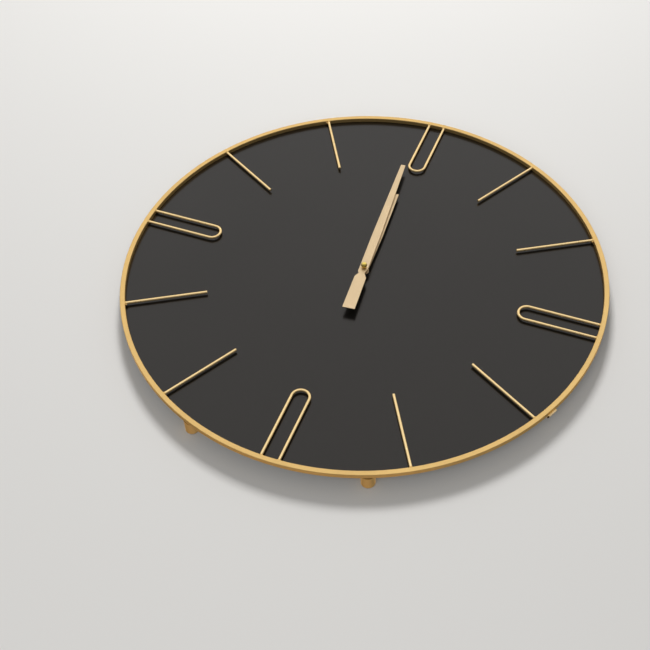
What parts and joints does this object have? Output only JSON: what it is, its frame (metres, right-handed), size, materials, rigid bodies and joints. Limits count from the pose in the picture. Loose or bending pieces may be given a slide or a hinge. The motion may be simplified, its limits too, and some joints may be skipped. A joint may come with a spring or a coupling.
{
  "type": "round wall clock",
  "caption": "Round wall clock: dark dial sheet in a slim gold metal hoop with wire hour marks, straight hands, stand-off feet, keyhole hanger and a battery quartz movement.",
  "frame": {"origin": "where the wall screw rests, at the top of the hanger's slot, on the wall plane", "axes": "+Z towards 12 o'clock (up), +X towards 3 o'clock seen from the front, +Y into the wall; the face looks along -Y"},
  "size_m": [0.6, 0.038, 0.6],
  "materials": {
    "gold_paint": "satin metallic gold",
    "dial_black": "fine matte powder coat",
    "hand_gold": "satin champagne gold",
    "polished_brass": "polished",
    "brass": "satin",
    "steel": "zinc plated",
    "black_metal": "black oxide",
    "case_plastic": "fine texture",
    "gear_plastic": "moulded",
    "rubber": "matte",
    "board": "coated laminate",
    "copper": "enamelled copper wire",
    "magnet": "sintered",
    "battery_sleeve": "plain printed-free sleeve"
  },
  "bodies": {
    "clock_frame": {"rim_ring": "gold_paint", "hour_bar_1": "gold_paint", "hour_bar_2": "gold_paint", "hour_bar_4": "gold_paint", "hour_bar_5": "gold_paint", "hour_bar_7": "gold_paint", "hour_bar_8": "gold_paint", "hour_bar_10": "gold_paint", "hour_bar_11": "gold_paint", "hour_loop_12": "gold_paint", "hour_loop_3": "gold_paint", "hour_loop_6": "gold_paint", "hour_loop_9": "gold_paint", "dial_disc": "dial_black", "rim_screws": "steel", "weld_studs": "steel", "foot_left": "gold_paint", "foot_right": "gold_paint", "foot_pad_left": "rubber", "foot_pad_right": "rubber", "hanger_strap": "steel", "hanger_nuts": "steel", "movement_case": "case_plastic", "movement_cover": "case_plastic", "dial_gasket": "rubber", "threaded_bushing": "brass", "bushing_washer": "black_metal", "bushing_nut": "black_metal", "train_plate": "gear_plastic", "train_screws": "steel", "circuit_board": "board", "timer_chip": "case_plastic", "quartz_crystal": "steel", "coil": "copper", "stator": "steel", "battery_spring": "steel", "battery_contact": "steel"},
    "minute_body": {"minute_arbor": "brass", "clutch_spring": "steel", "minute_collet": "brass", "minute_hand": "hand_gold", "cap_nut": "polished_brass"},
    "hour_body": {"hour_wheel": "gear_plastic", "hour_collet": "brass", "hour_hand": "hand_gold"},
    "motion_wheel": {"minute_wheel": "gear_plastic"},
    "setting_knob": {"setting_knob": "case_plastic"},
    "drive_rotor": {"rotor": "magnet"},
    "drive_step": {"step_wheel": "gear_plastic"},
    "drive_fourth": {"fourth_wheel": "gear_plastic"},
    "drive_third": {"third_wheel": "gear_plastic"},
    "drive_centre": {"centre_wheel": "gear_plastic"},
    "battery": {"battery": "battery_sleeve"}
  },
  "joints": [
    {"name": "minute_turn", "type": "hinge", "parent": "clock_frame", "child": "minute_body", "pos_m": [0, -0.0303, -0.232], "axis": [0, 1, 0], "continuous": true},
    {"name": "hour_turn", "type": "hinge", "parent": "clock_frame", "child": "hour_body", "pos_m": [0, -0.0269, -0.232], "axis": [0, 1, 0], "continuous": true},
    {"name": "minute_wheel_turn", "type": "hinge", "parent": "clock_frame", "child": "motion_wheel", "pos_m": [-0.00779, -0.012, -0.2275], "axis": [0, 1, 0], "continuous": true},
    {"name": "knob_turn", "type": "hinge", "parent": "clock_frame", "child": "setting_knob", "pos_m": [-0.01559, -0.012, -0.223], "axis": [0, 1, 0], "continuous": true},
    {"name": "rotor_turn", "type": "hinge", "parent": "clock_frame", "child": "drive_rotor", "pos_m": [0.00339, -0.012, -0.21242], "axis": [0, 1, 0], "continuous": true},
    {"name": "step_turn", "type": "hinge", "parent": "clock_frame", "child": "drive_step", "pos_m": [0.00436, -0.012, -0.21793], "axis": [0, 1, 0], "continuous": true},
    {"name": "fourth_turn", "type": "hinge", "parent": "clock_frame", "child": "drive_fourth", "pos_m": [0.00955, -0.012, -0.22093], "axis": [0, 1, 0], "continuous": true},
    {"name": "third_turn", "type": "hinge", "parent": "clock_frame", "child": "drive_third", "pos_m": [0.00779, -0.012, -0.2275], "axis": [0, 1, 0], "continuous": true},
    {"name": "centre_turn", "type": "hinge", "parent": "clock_frame", "child": "drive_centre", "pos_m": [0, -0.012, -0.232], "axis": [0, 1, 0], "continuous": true},
    {"name": "battery_out", "type": "slide", "parent": "clock_frame", "child": "battery", "axis": [0, 1, 0], "range_m": [0, 0.025]}
  ],
  "couplings": [
    {"joint": "hour_turn", "follows": "minute_turn", "ratio": 0.083333},
    {"joint": "minute_wheel_turn", "follows": "minute_turn", "ratio": -0.33333},
    {"joint": "knob_turn", "follows": "minute_turn", "ratio": 1},
    {"joint": "step_turn", "follows": "rotor_turn", "ratio": -0.16667},
    {"joint": "fourth_turn", "follows": "rotor_turn", "ratio": 0.033333},
    {"joint": "third_turn", "follows": "rotor_turn", "ratio": -0.0044444},
    {"joint": "centre_turn", "follows": "rotor_turn", "ratio": 0.00055556}
  ]
}
